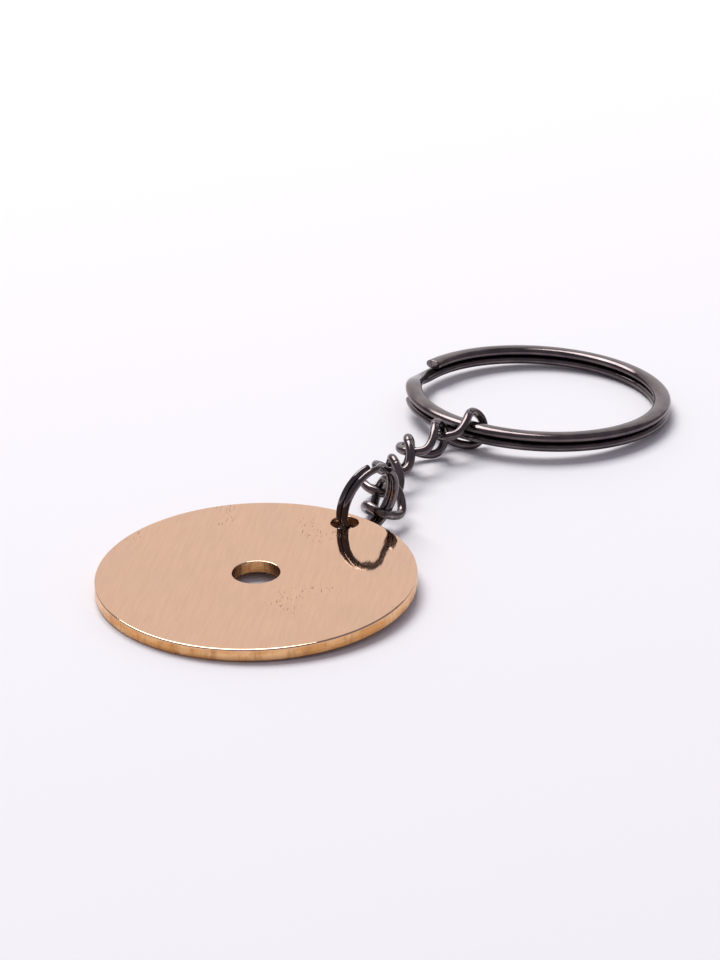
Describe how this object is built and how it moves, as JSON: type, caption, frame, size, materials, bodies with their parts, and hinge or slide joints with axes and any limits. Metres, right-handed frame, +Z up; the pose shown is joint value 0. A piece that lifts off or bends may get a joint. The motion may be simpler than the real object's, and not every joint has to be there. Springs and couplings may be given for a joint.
{
  "type": "token key fob",
  "caption": "Thin round drilled token on a short chain of twisted curb links, with a small connector ring in its chain hole and a split key ring at the other end.",
  "frame": {"origin": "on the table under the middle of the whole object as it lies", "axes": "+X along the object from the token to the key ring, +Z up from the table, +Y to the left of +X"},
  "size_m": [0.0876, 0.032, 0.0083],
  "materials": {
    "token_metal": "satin pinkish bronze, finely brushed",
    "chain_metal": "polished dark gunmetal plating"
  },
  "bodies": {
    "token": {"token_disc": "token_metal"},
    "connector_ring": {"connector_ring": "chain_metal"},
    "chain_link_1": {"chain_link_1": "chain_metal"},
    "chain_link_2": {"chain_link_2": "chain_metal"},
    "chain_link_3": {"chain_link_3": "chain_metal"},
    "chain_link_4": {"chain_link_4": "chain_metal"},
    "chain_link_5": {"chain_link_5": "chain_metal"},
    "key_ring": {"key_ring": "chain_metal"}
  },
  "joints": [
    {"name": "connector_swing", "type": "hinge", "parent": "token", "child": "connector_ring", "pos_m": [-0.01223, -0.00142, 0.00181], "axis": [0.0906, 0.9959, 0.0033], "range_deg": [-2, 75]},
    {"name": "link_1_swing", "type": "hinge", "parent": "connector_ring", "child": "chain_link_1", "pos_m": [-0.00929, -0.00321, 0.00204], "axis": [0.6091, -0.721, -0.3304], "range_deg": [-45, 12]},
    {"name": "link_2_turn", "type": "hinge", "parent": "chain_link_1", "child": "chain_link_2", "pos_m": [-0.00433, 0.0009, 0.00219], "axis": [0.2145, -0.294, 0.9314], "range_deg": [-45, 60]},
    {"name": "link_3_swing", "type": "hinge", "parent": "chain_link_2", "child": "chain_link_3", "pos_m": [-0.00032, 0.00261, 0.00223], "axis": [-0.1543, 0.9876, 0.0279], "range_deg": [-45, 60]},
    {"name": "link_4_turn", "type": "hinge", "parent": "chain_link_3", "child": "chain_link_4", "pos_m": [0.00603, 0.0036, 0.00254], "axis": [-0.0386, -0.0695, 0.9968], "range_deg": [-45, 60]},
    {"name": "link_5_swing", "type": "hinge", "parent": "chain_link_4", "child": "chain_link_5", "pos_m": [0.01032, 0.00284, 0.00257], "axis": [-0.3287, -0.8997, 0.2872], "range_deg": [-60, 45]},
    {"name": "key_ring_swing", "type": "hinge", "parent": "chain_link_5", "child": "key_ring", "pos_m": [0.01436, 0.00079, 0.0023], "axis": [0.0008, 0.9998, 0.02], "range_deg": [-60, 45]}
  ]
}
